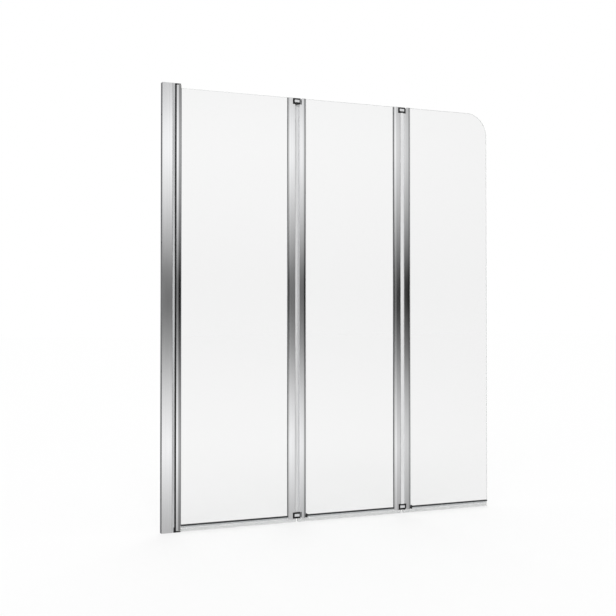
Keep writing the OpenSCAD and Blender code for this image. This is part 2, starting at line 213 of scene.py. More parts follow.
def satin_anodised_aluminium(name, *colours):
    """Etched and anodised, so it is light grey and nearly even whatever it faces, with a soft
    upright grain."""
    # The etched grain is under 0.1 mm. It is drawn 0.8 mm wide and 30 mm long.
    return grained(name, grain_mm=(0.8, 0.8, 30), detail=4.0, colours=colours,
                   roughness=(0.5, 0.6), bump=(0.08, 0.05), Metallic=0.15)


def mill_finish_and_shade_aluminium():
    """The channel's back as it came from the press, unpolished, with long scuffs. Its dull mid grey
    is painted shade, darker than bare aluminium.
    """
    return grained("mill_finish_and_shade_aluminium", grain_mm=(4, 1.5, 60), detail=4.0,
                   colours=("#6E6F71", "#808183"),
                   roughness=(0.5, 0.65), bump=(0.1, 0.1), Metallic=0.3)


def turned_stainless_steel():
    """Pins turned on a lathe: grey and shiny with rings round them."""
    return grained("turned_stainless_steel", grain_mm=(40, 40, 0.6), detail=2.0,
                   colours=("#B4B2AF", "#C9C7C4"),
                   roughness=(0.2, 0.32), bump=(0.15, 0.05), Metallic=1.0)


def toughened_glass():
    """Clear float glass, polished and toughened. It leaves a trace of grey in the white behind it,
    and its shadow is only that of a tinted film, so light goes through."""
    finish, tree = blank_material("toughened_glass")
    skin = node(tree, "ShaderNodeBsdfPrincipled", {"Base Color": srgb("#F6F6F6"), "Roughness": 0.0,
                                                   "IOR": 1.52, "Transmission Weight": 1.0})
    film = node(tree, "ShaderNodeBsdfTransparent", {"Color": srgb("#F3F6F4")})
    path = node(tree, "ShaderNodeLightPath")
    mixed = node(tree, "ShaderNodeMixShader", {0: path.outputs["Is Shadow Ray"],
                                               1: skin.outputs[0], 2: film.outputs[0]})
    node(tree, "ShaderNodeOutputMaterial", {"Surface": mixed.outputs[0]})
    return finish


def ground_glass_edge():
    """The ground and half-polished edge of the pane: a frosty pale green, because it shows the
    depth of the glass."""
    return grained("ground_glass_edge", grain_mm=(6, 1.2, 6), detail=2.0,
                   colours=("#EEF5F1", "#F5FAF7"),
                   roughness=(0.22, 0.22), bump=(0.05, 0.05),
                   **{"IOR": 1.52, "Transmission Weight": 0.85})


def black_acetal():
    """Injection-moulded black acetal: dark with a low waxy sheen and a fine eroded texture."""
    return grained("black_acetal", grain_mm=(0.7, 0.7, 0.7), detail=3.0,
                   colours=("#0E0E0F", "#1A1A1B"),
                   roughness=(0.36, 0.5), bump=(0.12, 0.04), IOR=1.48)


def natural_acetal():
    """Undyed acetal: milky white, a little waxy, with a faint flow pattern."""
    return grained("natural_acetal", grain_mm=(3, 3, 6), detail=3.0,
                   colours=("#DEDDD6", "#EBEAE4"),
                   roughness=(0.32, 0.42), bump=(0.05, 0.03), IOR=1.48)


def moulded_grey_plastic():
    """The light face plates in the link blocks: satin grey plastic with a fine texture."""
    return grained("moulded_grey_plastic", grain_mm=(0.6, 0.6, 0.6), detail=3.0,
                   colours=("#D6D7D8", "#E2E3E4"),
                   roughness=(0.4, 0.5), bump=(0.1, 0.04), IOR=1.5)


def extruded_black_rubber():
    """Black EPDM seal: very dark and matt, with drag lines from the die and a little bloom."""
    finish, tree = blank_material("extruded_black_rubber")
    drag = grain(tree, (1.2, 1.2, 120), 3.0)
    bloom = grain(tree, (9, 9, 30), 4.0)
    surface(tree, {"Base Color": tint(tree, bloom, "#0D0D0E", "#1B1B1C"), "IOR": 1.5,
                   "Roughness": spread(tree, bloom, 0.5, 0.66),
                   "Normal": relief(tree, drag, 0.15, 0.06)})
    return finish


def grey_glazing_rubber():
    """Soft grey glazing strip that grips the glass."""
    return grained("grey_glazing_rubber", grain_mm=(0.8, 0.8, 90), detail=3.0,
                   colours=("#77787A", "#868789"),
                   roughness=(0.45, 0.58), bump=(0.12, 0.05), IOR=1.5)


def rail_pvc_painted_dark():
    """Stiff PVC rail under the glass, co-extruded and fairly glossy. Its near-black is a painted
    reflection: the dark line that the glass's bottom edge shows.
    """
    return grained("rail_pvc_painted_dark", grain_mm=(140, 1.5, 1.5), detail=3.0,
                   colours=("#1D1E20", "#2A2B2D"),
                   roughness=(0.3, 0.4), bump=(0.08, 0.05), IOR=1.53)


def clear_soft_pvc():
    """Clear soft PVC: the thin fins let most light through. The thick stem above them is painted
    grey just under the rail, as painted shade."""
    finish, tree = blank_material("clear_soft_pvc")
    ripple = grain(tree, (60, 4, 4), 3.0)
    place = node(tree, "ShaderNodeTexCoord")
    height = node(tree, "ShaderNodeSeparateXYZ", {0: place.outputs["Object"]}).outputs["Z"]
    # Painted shade: the stem's band just under the rail is painted grey for the shade there.
    stem = map_range(tree, height, 10.5 * MM, 12.5 * MM)
    fin = tint(tree, ripple, "#F6F7F7", "#FDFDFD")
    surface(tree, {"Base Color": blend(tree, stem, fin, srgb("#CDCFD0")), "IOR": 1.4,
                   "Roughness": spread(tree, ripple, 0.2, 0.26), "Transmission Weight": 0.8,
                   "Normal": relief(tree, ripple, 0.1, 0.2)})
    return finish


BRIGHT = bright_anodised_aluminium()
SATIN = satin_anodised_aluminium("satin_anodised_aluminium", "#C8C9CA", "#D4D5D6")
PALE_SATIN = satin_anodised_aluminium("pale_satin_anodised_aluminium", "#EEEFEF", "#F7F7F8")
MILL_AND_SHADE = mill_finish_and_shade_aluminium()
STEEL = turned_stainless_steel()
GLASS = toughened_glass()
GLASS_EDGE = ground_glass_edge()
ACETAL = black_acetal()
WHITE_ACETAL = natural_acetal()
GREY = moulded_grey_plastic()
RUBBER = extruded_black_rubber()
GLAZING = grey_glazing_rubber()
RAIL_PAINTED_DARK = rail_pvc_painted_dark()
CLEAR = clear_soft_pvc()


# ---------- selecting ----------

def select_only(*pieces):
    """Object mode with only these pieces selected, or none, and the first one active."""
    if bpy.context.mode != "OBJECT":
        bpy.ops.object.mode_set(mode="OBJECT")
    bpy.ops.object.select_all(action="DESELECT")
    for piece in pieces:
        piece.select_set(True)
    if pieces:
        bpy.context.view_layer.objects.active = pieces[0]


def edit():
    """Edit mode with everything selected."""
    bpy.ops.object.mode_set(mode="EDIT")
    bpy.ops.mesh.select_all(action="SELECT")


def leave_edit():
    """Turns every face outward and goes back to object mode."""
    bpy.ops.mesh.select_all(action="SELECT")
    bpy.ops.mesh.normals_make_consistent(inside=False)
    bpy.ops.object.mode_set(mode="OBJECT")


def near(a, b):
    """Whether two lengths are the same."""
    return abs(a - b) < HAIR


def at(**places):
    """A test for vertices, or for edges, that lie at a place on each axis that is named."""
    return lambda *ends: all(near(getattr(end, axis), place)
                             for end in ends for axis, place in places.items())


def pick(kind, test):
    """Selects what passes the test, which gets a vertex's place, the places of an edge's two ends,
    or a face's middle and normal."""
    bpy.ops.mesh.select_mode(type=kind)
    bpy.ops.mesh.select_all(action="DESELECT")
    mesh = bpy.context.edit_object.data
    shape = bmesh.from_edit_mesh(mesh)
    if kind == "VERT":
        for v in shape.verts:
            v.select_set(test(v.co))
    elif kind == "EDGE":
        for e in shape.edges:
            e.select_set(test(e.verts[0].co, e.verts[1].co))
    else:
        for f in shape.faces:
            f.select_set(test(f.calc_center_median(), f.normal))
    shape.select_flush_mode()
    bmesh.update_edit_mesh(mesh)


# ---------- shaping ----------

def settle():
    """Takes the new object's place, turn and scale into its mesh."""
    bpy.ops.object.transform_apply(location=True, rotation=True, scale=True)
    return bpy.context.object


def box(low, high):
    """A box between two corners."""
    select_only()
    low, high = Vector(low), Vector(high)
    bpy.ops.mesh.primitive_cube_add(size=1, location=(low + high) / 2, scale=high - low)
    return settle()


def cylinder(radius, length, middle, sides, turn=(0, 0, 0)):
    """A cylinder round its middle, upright unless it is turned."""
    select_only()
    bpy.ops.mesh.primitive_cylinder_add(vertices=sides, radius=radius, depth=length,
                                        location=middle, rotation=turn)
    return settle()


def swing_cylinder(radius, sides):
    """A cylinder on the swing axis that reaches past both ends of the screen."""
    past_end = 100 * MM
    return cylinder(radius, SCREEN_H + 2 * past_end, (PIVOT_X, 0, SCREEN_H / 2), sides)


def flat_section(x0, x1, half, z):
    """A flat rectangle in X and Y, centred on the glass, from which a profile is drawn up."""
    select_only()
    bpy.ops.mesh.primitive_plane_add(size=1, location=((x0 + x1) / 2, 0, z))
    bpy.ops.transform.resize(value=(abs(x1 - x0), 2 * half, 1))
    return settle()


def cross_section(y0, y1, z0, z1, x):
    """A flat rectangle in Y and Z at x, from which a profile is drawn along the screen."""
    select_only()
    bpy.ops.mesh.primitive_plane_add(size=1, location=(x, (y0 + y1) / 2, (z0 + z1) / 2),
                                     rotation=(radians(90), 0, radians(90)))
    bpy.ops.object.transform_apply(location=False, rotation=True, scale=False)
    bpy.ops.transform.resize(value=(1, y1 - y0, z1 - z0))
    return settle()


def bevel(kind, test, width, segments):
    """Cuts or rounds the corners of a flat section, or the edges of a solid, that pass the test."""
    pick(kind, test)
    bpy.ops.mesh.bevel(offset=width, segments=segments,
                       affect="VERTICES" if kind == "VERT" else "EDGES")


def stretch(factors, centre):
    """Scales what is selected about a point."""
    bpy.ops.transform.resize(value=factors, center_override=centre)


def extrude(way):
    """Extrudes what is selected along a vector."""
    bpy.ops.mesh.extrude_region_move(TRANSFORM_OT_translate={"value": way})


def round_nose(tip, side, length, segments, z):
    """Rounds the end of a flat section, whose tip is at x, and stretches the round to a length."""
    bevel("VERT", at(x=tip), width=NOSE_R, segments=segments)
    shoulder = tip - side * NOSE_R
    pick("VERT", lambda v: (v.x - shoulder) * side > -HAIR)
    stretch((length / NOSE_R, 1, 1), (tip, 0, z))


def score(*planes):
    """Cuts the mesh along planes, each given as an axis and a place on it."""
    for axis, place in planes:
        bpy.ops.mesh.select_all(action="SELECT")
        bpy.ops.mesh.bisect(plane_co=[place if a == axis else 0.0 for a in "xyz"],
                            plane_no=[1.0 if a == axis else 0.0 for a in "xyz"])


def remove_faces(test):
    """Deletes the faces whose middle passes the test."""
    pick("FACE", lambda c, n: test(c))
    bpy.ops.mesh.delete(type="FACE")


def draw_out(way):
    """Extrudes the whole flat section along a vector into a closed solid."""
    bpy.ops.mesh.select_mode(type="FACE")
    bpy.ops.mesh.select_all(action="SELECT")
    extrude(way)
    bpy.ops.mesh.select_all(action="SELECT")
    bpy.ops.mesh.remove_doubles(threshold=WELD)
    leave_edit()


def cut_by(piece, cutter):
    """Takes another solid out of a piece, and throws that solid away."""
    select_only(piece)
    cut = piece.modifiers.new("cut", "BOOLEAN")
    cut.operation = "DIFFERENCE"
    cut.solver = "EXACT"
    cut.object = cutter
    bpy.ops.object.modifier_apply(modifier=cut.name)
    bpy.data.objects.remove(cutter)


def cut_away(piece, *boxes):
    """Takes boxes, each given by two corners, out of a solid."""
    for low, high in boxes:
        cut_by(piece, box(low, high))


def bore_holes(piece, place, heights, turn, radius, depth):
    """Drills a hole at each height, its middle at a place in X and Y."""
    for height in heights:
        cut_by(piece, cylinder(radius, depth, (*place, height), sides=32, turn=turn))


def ease_edges(piece, width, segments=2, angle=35):
    """Takes the sharpness off every corner, as a tumbling drum or a mould does."""
    select_only(piece)
    ease = piece.modifiers.new("ease", "BEVEL")
    ease.width = width
    ease.segments = segments
    ease.limit_method = "ANGLE"
    ease.angle_limit = radians(angle)
    bpy.ops.object.modifier_apply(modifier=ease.name)


def join(*pieces):
    """Joins pieces into the first one."""
    select_only(*pieces)
    bpy.ops.object.join()
    return pieces[0]


def paint_faces(piece, index, test):
    """Gives the faces that pass the test the piece's material with that index."""
    pick("FACE", test)
    piece.active_material_index = index
    bpy.ops.object.material_slot_assign()


def finish_piece(piece, name, body, finish, slot, *nodes):
    """Names a piece, gives it its finish, and hangs it on its body in place of its CAD nodes."""
    select_only(piece)
    bpy.ops.object.shade_smooth_by_angle(angle=radians(32))
    # Flat faces keep their own direction, so a mirror-bright flat doesn't look bowed.
    even = piece.modifiers.new("even", "WEIGHTED_NORMAL")
    even.keep_sharp = True
    bpy.ops.object.modifier_apply(modifier=even.name)
    piece.name = name
    piece.data.name = name
    if not piece.data.materials:
        piece.data.materials.append(finish)
    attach(piece, body)
    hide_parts(*nodes)


# ---------- glass ----------

def glass_pane(node_name, body, round_corner=False):
    """A pane with its edges ground to a small arris, and a round free corner on the last one."""
    low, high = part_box(node_name)
    pane = box(low, high)
    pane.data.materials.append(GLASS)
    pane.data.materials.append(GLASS_EDGE)
    edit()
    if round_corner:
        bevel("EDGE", at(x=high.x, z=high.z), width=CORNER_R, segments=48)
    bevel("EDGE", lambda a, b: near(abs(a.y), high.y) and near(a.y, b.y),
          width=0.6 * MM, segments=1)
    paint_faces(pane, 1, lambda c, n: abs(n.y) < 0.9)
    leave_edit()
    finish_piece(pane, "pane_" + node_name[-1], body, GLASS, "clear_glass", node_name)


glass_pane("glass_1", "panel_1")
glass_pane("glass_2", "panel_2")
glass_pane("glass_3", "panel_3", round_corner=True)


# ---------- clamps, turning tube and glazing ----------

def clamp_profile(name, body, fold, side, node_name):
    """A round-nosed extrusion with a slot for the glass and a hollow, its ends cut back for the
    link blocks."""
    middle = FOLDS[fold]
    inner, outer, slot = (middle + side * reach for reach in (FOLD_GAP, CLAMP_OUT, SLOT_X))
    clamp = flat_section(inner, outer, CLAMP_HALF, CLAMP_BOTTOM)
    edit()
    round_nose(outer, side, length=NOSE_L, segments=16, z=CLAMP_BOTTOM)
    bevel("VERT", at(x=inner), width=0.6 * MM, segments=3)
    score(("y", -SLOT_HALF), ("y", SLOT_HALF), ("x", slot))
    remove_faces(lambda c: abs(c.y) < SLOT_HALF and (c.x - slot) * side > 0)
    score(("y", -HOLLOW_HALF), ("y", HOLLOW_HALF))
    score(*(("x", middle + side * reach) for reach in HOLLOW_X))
    remove_faces(lambda c: abs(c.y) < HOLLOW_HALF
                 and HOLLOW_X[0] < (c.x - middle) * side < HOLLOW_X[1])
    draw_out((0, 0, GLASS_TOP - CLAMP_BOTTOM))
    x0, x1 = sorted((middle, middle + side * NOTCH_X))
    cut_away(clamp, ((x0, -CUT_HALF, 0), (x1, CUT_HALF, NOTCH_ENDS[0])),
             ((x0, -CUT_HALF, NOTCH_ENDS[1]), (x1, CUT_HALF, SCREEN_H)))
    ease_edges(clamp, 0.25 * MM)
    finish_piece(clamp, name, body, BRIGHT, "anodised_aluminium", node_name)


clamp_profile("clamp_1_outer", "panel_1", 0, -1, "clamp_1_fold")
clamp_profile("clamp_2_inner", "panel_2", 0, 1, "clamp_2_near")
clamp_profile("clamp_2_outer", "panel_2", 1, -1, "clamp_2_far")
clamp_profile("clamp_3_inner", "panel_3", 1, 1, "clamp_3_near")


def turning_tube():
    """The profile that turns on the swing axis and grips the first pane: round at the back, where
    the seal wipes it, and drawn out in front to a lip that half hides the seal. Its nose is long,
    like those of the clamps."""
    bottom, top = TUBE_ENDS
    tip = PIVOT_X + TUBE_R
    tube = flat_section(LIP_X, tip, CLAMP_HALF, bottom)
    edit()
    round_nose(tip, 1, length=TUBE_NOSE_L, segments=20, z=bottom)
    bevel("VERT", at(x=LIP_X), width=0.6 * MM, segments=4)
    score(("y", -SLOT_HALF), ("y", SLOT_HALF), ("x", TUBE_SLOT_X))
    remove_faces(lambda c: abs(c.y) < SLOT_HALF and c.x > TUBE_SLOT_X)
    draw_out((0, 0, top - bottom))
    waste = box((LIP_X - PAST, LIP_BACK, 0), (PIVOT_X, CUT_HALF, SCREEN_H))
    cut_by(waste, swing_cylinder(TUBE_R, sides=128))
    cut_by(tube, waste)
    ease_edges(tube, 0.25 * MM)
    finish_piece(tube, "turning_tube", "panel_1", BRIGHT, "anodised_aluminium", "pivot_tube")


turning_tube()


def glazing_strip(name, body, root, mouth, node_name):
    """A rubber channel round the edge of the pane, with two lips that flare out of the profile's
    mouth."""
    way = 1 if mouth > root else -1
    web, lips = root + way * MM, mouth + way * 0.5 * MM
    flare = 1.16
    strip = flat_section(root, mouth, SLOT_HALF, GLASS_BOTTOM)
    edit()
    score(("y", -GLASS_HALF), ("y", GLASS_HALF), ("x", web))
    remove_faces(lambda c: abs(c.y) < GLASS_HALF and (c.x - web) * way > 0)
    pick("EDGE", at(x=mouth))
    extrude((lips - mouth, 0, 0))
    pick("VERT", lambda v: near(v.x, lips) and abs(v.y) > GLASS_HALF + HAIR)
    stretch((1, flare, 1), (mouth, 0, GLASS_BOTTOM))
    draw_out((0, 0, GLASS_TOP - GLASS_BOTTOM))
    ease_edges(strip, 0.15 * MM)
    finish_piece(strip, name, body, GLAZING, "grey_gasket", node_name)


def clamp_glazing(name, body, fold, side, node_name):
    """The strip in a clamp's slot, whose mouth is set back a little behind the nose."""
    glazing_strip(name, body, FOLDS[fold] + side * SLOT_X,
                  FOLDS[fold] + side * (CLAMP_OUT - 0.6 * MM), node_name)


glazing_strip("glazing_1_wall", "panel_1", TUBE_SLOT_X, PIVOT_X + TUBE_R - 0.9 * MM,
              "gasket_1_wall")
clamp_glazing("glazing_1_outer", "panel_1", 0, -1, "gasket_1_fold")
clamp_glazing("glazing_2_inner", "panel_2", 0, 1, "gasket_2_near")
clamp_glazing("glazing_2_outer", "panel_2", 1, -1, "gasket_2_far")
clamp_glazing("glazing_3_inner", "panel_3", 1, 1, "gasket_3_near")


# ---------- wall side ----------

def wall_profile():
    """The wall channel: a U with rounded outer corners, bored for its screws and for the screws
    that lock the sliding profile, its hidden back left unpolished and painted dark as shade."""
    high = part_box("wall_channel")[1]
    back, inner_half = 2 * MM, 6.4 * MM
    channel = flat_section(0, high.x, high.y, 0)
    channel.data.materials.append(BRIGHT)
    channel.data.materials.append(MILL_AND_SHADE)
    edit()
    bevel("VERT", at(x=high.x), width=1.2 * MM, segments=5)
    score(("y", -inner_half), ("y", inner_half), ("x", back))
    remove_faces(lambda c: abs(c.y) < inner_half and c.x > back)
    draw_out((0, 0, high.z))
    bore_holes(channel, (0, 0), WALL_SCREWS, ALONG_X, radius=2.75 * MM, depth=10 * MM)
    bore_holes(channel, (LOCK_X, high.y), LOCK_SCREWS, ALONG_Y, radius=2.1 * MM, depth=6 * MM)
    ease_edges(channel, 0.2 * MM)
    select_only(channel)
    edit()
    # Painted shade: the face toward the wall gets the dark mill grey.
    paint_faces(channel, 1, lambda c, n: n.x < -0.5 and c.x < MM)
    bpy.ops.object.mode_set(mode="OBJECT")
    finish_piece(channel, "wall_profile", "wall_frame", BRIGHT, "anodised_aluminium",
                 "wall_channel")


wall_profile()


def sliding_profile():
    """The satin profile that slides in the channel. Its round nose is slit for the seal and let in
    for the bearings."""
    low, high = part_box("adjusting_profile")
    wall, neck = 1.5 * MM, 34.5 * MM
    neck_half, hollow_half, slit_half = 6.2 * MM, 4.7 * MM, 1.6 * MM
    slide = flat_section(low.x, high.x, high.y, 0)
    edit()
    bevel("VERT", at(x=high.x), width=3.5 * MM, segments=10)
    score(("x", neck), ("y", -neck_half), ("y", neck_half))
    remove_faces(lambda c: c.x < neck and abs(c.y) > neck_half)
    score(("x", neck - wall), ("y", -hollow_half), ("y", hollow_half))
    remove_faces(lambda c: c.x < neck - wall and abs(c.y) < hollow_half)
    score(("x", neck + wall), ("x", high.x - wall))
    remove_faces(lambda c: neck + wall < c.x < high.x - wall and abs(c.y) < hollow_half)
    score(("y", -slit_half), ("y", slit_half))
    remove_faces(lambda c: c.x > high.x - wall and abs(c.y) < slit_half)
    draw_out((0, 0, high.z))
    block_x, block_top, arm_half = 38.4 * MM, 16.2 * MM, 5.5 * MM
    lower_bearing = (block_x, -CUT_HALF, -PAST), (high.x + PAST, CUT_HALF, block_top)
    upper_bearing = ((high.x - wall - PAST, -arm_half, high.z - ARM_T),
                     (high.x + PAST, arm_half, high.z + PAST))
    cap = (0, -CUT_HALF, high.z - CAP_T), (neck, CUT_HALF, high.z + PAST)
    cut_away(slide, lower_bearing, upper_bearing, cap)
    bore_holes(slide, (LOCK_X, 5.5 * MM), LOCK_SCREWS, ALONG_Y, radius=2 * MM, depth=4 * MM)
    ease_edges(slide, 0.2 * MM)
    finish_piece(slide, "sliding_profile", "wall_frame", SATIN, "matt_aluminium",
                 "adjusting_profile")


sliding_profile()


def wall_seal():
    """A black rubber strip hooked in the sliding profile, hollowed where it wipes the turning
    tube."""
    low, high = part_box("wall_seal_strip")
    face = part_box("adjusting_profile")[1].x
    half, hook = 2 * MM, face - 2.5 * MM
    hook_thinner, wipe_gap = 0.75, 0.4 * MM
    seal = flat_section(face, high.x, half, ARM_T)
    edit()
    bevel("VERT", at(x=high.x), width=0.6 * MM, segments=3)
    pick("EDGE", at(x=face))
    extrude((hook - face, 0, 0))
    pick("VERT", at(x=hook))
    stretch((1, hook_thinner, 1), (face, 0, ARM_T))
    draw_out((0, 0, high.z - ARM_T))
    # Lower down, only the outer part runs on, because the bearing's block is behind it.
    cut_away(seal, ((hook - PAST, -CUT_HALF, 0), (face + 3.2 * MM, CUT_HALF, low.z)))
    cut_by(seal, swing_cylinder(TUBE_R + wipe_gap, sides=96))
    ease_edges(seal, 0.2 * MM)
    finish_piece(seal, "wall_seal", "wall_frame", RUBBER, "black_rubber", "wall_seal_strip")


wall_seal()


def end_cap():
    """The cap on the wall channel, with rounded rims and the plug that holds it."""
    low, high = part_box("channel_cap")
    cap = box((0, low.y, high.z - CAP_T), high)
    edit()
    bevel("EDGE", lambda a, b: at(x=high.x)(a, b) and near(a.y, b.y), width=1.2 * MM, segments=5)
    bevel("EDGE", at(z=high.z), width=0.4 * MM, segments=3)
    leave_edit()
    plug_x, plug_half, plug_bottom = (2.2 * MM, 7.8 * MM), 6.2 * MM, high.z - 13.5 * MM
    plug = box((plug_x[0], -plug_half, plug_bottom), (plug_x[1], plug_half, high.z - 1.4 * MM))
    ease_edges(plug, 0.3 * MM)
    finish_piece(join(cap, plug), "end_cap", "wall_frame", BRIGHT, "anodised_aluminium",
                 "channel_cap")


end_cap()


def snap_covers():
    """The snap-on covers of the lock screws: shallow cups with a domed face."""
    radius, depth, face, wall = 5.4 * MM, 3.2 * MM, 11.2 * MM, 1 * MM
    covers = []
    for height in LOCK_SCREWS:
        cover = cylinder(radius, depth, (LOCK_X, face - depth / 2, height), 48, ALONG_Y_BACK)
        edit()
        bevel("EDGE", at(y=face), width=1.2 * MM, segments=5)
        pick("FACE", lambda c, n: n.y < -0.9)
        bpy.ops.mesh.inset(thickness=wall)
        extrude((0, depth - wall, 0))
        bpy.ops.object.mode_set(mode="OBJECT")
        covers.append(cover)
    finish_piece(join(*covers), "snap_covers", "wall_frame", BRIGHT, "anodised_aluminium",
                 "screw_covers")


snap_covers()


def moulded_bearing(node_name, name, width):
    """A bearing: the solid's own shape with every edge rounded, as a mould leaves it."""
    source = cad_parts[node_name]
    part = source.copy()
    part.data = source.data.copy()
    part.parent = None
    for key in list(part.keys()):
        del part[key]
    bpy.context.scene.collection.objects.link(part)
    part.data.materials.clear()
    select_only(part)
    edit()
    bpy.ops.mesh.remove_doubles(threshold=HAIR)
    bpy.ops.mesh.dissolve_limited(angle_limit=radians(1))
    bpy.ops.object.mode_set(mode="OBJECT")
    ease_edges(part, width, segments=3, angle=40)
    finish_piece(part, name, "wall_frame", ACETAL, "black_acetal", node_name)


moulded_bearing("pivot_bearing_bottom", "bearing_bottom", 0.6 * MM)
moulded_bearing("pivot_bearing_top", "bearing_top", 0.4 * MM)


# ---------- links ----------

def plate_box(fold, z0, y0, y1, gap=0.0):
    """The two corners of a face plate, or of its recess, on the block whose underside is at z0."""
    x, z = FOLDS[fold], z0 + BLOCK_H / 2
    return ((x + PLATE_X[0] - gap, y0, z + PLATE_Z[0] - gap),
            (x + PLATE_X[1] + gap, y1, z + PLATE_Z[1] + gap))


def link_block(name, body, fold, z0, node_name, strip_above):
    """A black moulded block with round ends, a recess for a face plate on both sides, and a foot
    for the strip."""
    middle, recess = FOLDS[fold], PLATE_Y[0]
    block = box((middle - BLOCK_END, -BLOCK_HALF, z0),
                (middle + BLOCK_END, BLOCK_HALF, z0 + BLOCK_H))
    edit()
    bevel("EDGE", lambda a, b: near(a.x, b.x) and near(a.y, b.y), width=2.5 * MM, segments=8)
    bpy.ops.object.mode_set(mode="OBJECT")
    cut_away(block, plate_box(fold, z0, -BLOCK_HALF - PAST, -recess, PLATE_GAP),
             plate_box(fold, z0, recess, BLOCK_HALF + PAST, PLATE_GAP))
    ease_edges(block, 0.35 * MM, segments=3, angle=40)
    foot_half, foot_h = 6 * MM, 4 * MM
    y0, y1 = sorted(STRIP_SIDES[fold] * y for y in (4.6 * MM, 6.8 * MM))
    foot_z = z0 + BLOCK_H - foot_h if strip_above else z0
    foot = box((middle - foot_half, y0, foot_z), (middle + foot_half, y1, foot_z + foot_h))
    ease_edges(foot, 0.4 * MM, segments=3)
    finish_piece(join(block, foot), name, body, ACETAL, "black_acetal", node_name)


def face_plates(name, body, fold, node_name):
    """Four light plates pressed into the recesses of the two blocks, proud by a hair."""
    plates = []
    for z0 in BLOCK_BOTTOMS:
        for way in (-1, 1):
            y0, y1 = sorted(way * y for y in PLATE_Y)
            plates.append(box(*plate_box(fold, z0, y0, y1)))
            ease_edges(plates[-1], 0.3 * MM, segments=3)
    finish_piece(join(*plates), name, body, GREY, "grey_plastic", node_name)


def link_strip(name, body, fold, node_name):
    """A flat light strip with rounded long edges and two shallow grooves down its face."""
    low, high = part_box(node_name)
    middle, way = FOLDS[fold], STRIP_SIDES[fold]
    face = high.y if way > 0 else low.y
    strip = flat_section(low.x, high.x, (high.y - low.y) / 2, low.z)
    edit()
    bpy.ops.transform.translate(value=(0, (low.y + high.y) / 2, 0))
    bevel("VERT", at(y=face), width=1 * MM, segments=5)
    draw_out((0, 0, high.z - low.z))
    groove_x, groove_half, groove_depth = 4 * MM, 0.4 * MM, 0.4 * MM
    y0, y1 = sorted((face - way * groove_depth, face + way * PAST))
    for x in (middle - groove_x, middle + groove_x):
        cut_away(strip, ((x - groove_half, y0, 0), (x + groove_half, y1, SCREEN_H)))
    ease_edges(strip, 0.12 * MM)
    finish_piece(strip, name, body, PALE_SATIN, "matt_aluminium", node_name)


for fold, link in ((0, "link_1"), (1, "link_2")):
    link_block(link + "_foot", link, fold, BLOCK_BOTTOMS[0], link + "_block_bottom", True)
    link_block(link + "_head", link, fold, BLOCK_BOTTOMS[1], link + "_block_top", False)
    face_plates(link + "_plates", link, fold, link + "_insets")
    link_strip(link + "_cover_strip", link, fold, link + "_strip")


# ---------- bottom seals ----------

def dark_rail(name, body, node_name):
    """A stiff rail with rounded shoulders and two lips that pinch the glass, grooved below for the
    fins."""
    low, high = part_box(node_name)
    neck = low.z + GROOVE_H
    hollow = neck + GROOVE_H
    rail = cross_section(low.y, high.y, low.z, high.z, low.x)
    edit()
    bevel("VERT", at(z=high.z), width=1.2 * MM, segments=5)
    bevel("VERT", at(z=low.z), width=0.7 * MM, segments=4)
    score(("y", -GLASS_HALF), ("y", GLASS_HALF), ("z", GLASS_BOTTOM))
    remove_faces(lambda c: abs(c.y) < GLASS_HALF and c.z > GLASS_BOTTOM)
    score(("y", -STEM_HALF), ("y", STEM_HALF), ("z", neck))
    remove_faces(lambda c: abs(c.y) < STEM_HALF and c.z < neck)
    score(("y", -HEAD_HALF), ("y", HEAD_HALF), ("z", hollow))
    remove_faces(lambda c: abs(c.y) < HEAD_HALF and neck < c.z < hollow)
    draw_out((high.x - low.x, 0, 0))
    ease_edges(rail, 0.15 * MM)
    # Painted reflection: the rail's near-black stands for the dark line of the glass's bottom edge.
    finish_piece(rail, name, body, RAIL_PAINTED_DARK, "dark_seal", node_name)


FIN_ROOT, STEM_BOTTOM = 10 * MM, 11 * MM
FIN_MIDDLE = 1.5 * MM               # the fins grow thinner toward this place in Y
FIN_DROP = 1.9 * MM                 # how far each step goes down a fin
# How far each step goes out, and how thin it is beside the one before.
FIN_STEPS = ((0.3 * MM, 0.95), (0.6 * MM, 0.92), (0.95 * MM, 0.9), (1.25 * MM, 0.88),
             (1.6 * MM, 0.82))


def soft_fins(name, body, node_name, rail_name):
    """Two thin fins that curve apart to the rim, hanging by a stem in the rail. They run on below
    the clamps, where the stem is cut away."""
    low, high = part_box(node_name)
    rail_low, rail_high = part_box(rail_name)
    neck = rail_low.z + GROOVE_H
    head_gap, head_h = 0.05 * MM, 0.7 * MM
    fins = cross_section(-STEM_HALF, STEM_HALF, FIN_ROOT, neck, low.x)
    edit()
    score(("y", 0.0), ("z", STEM_BOTTOM))
    for way in (-1, 1):
        pick("EDGE", lambda a, b: at(z=FIN_ROOT)(a, b) and (a.y + b.y) * way > 0)
        for out, thin in FIN_STEPS:
            extrude((0, way * out, -FIN_DROP))
            stretch((1, thin, 1), (low.x, way * FIN_MIDDLE, 0))
    pick("EDGE", at(z=neck))
    extrude((0, 0, head_gap))
    stretch((1, HEAD_HALF / STEM_HALF, 1), (low.x, 0, 0))
    extrude((0, 0, head_h))
    draw_out((high.x - low.x, 0, 0))
    stem_ends = [(low.x - PAST, rail_low.x)]
    if rail_high.x < high.x - PAST:
        stem_ends.append((rail_high.x, high.x + PAST))
    for x0, x1 in stem_ends:
        cut_away(fins, ((x0, -CUT_HALF, STEM_BOTTOM), (x1, CUT_HALF, rail_high.z)))
    finish_piece(fins, name, body, CLEAR, "clear_seal", node_name)


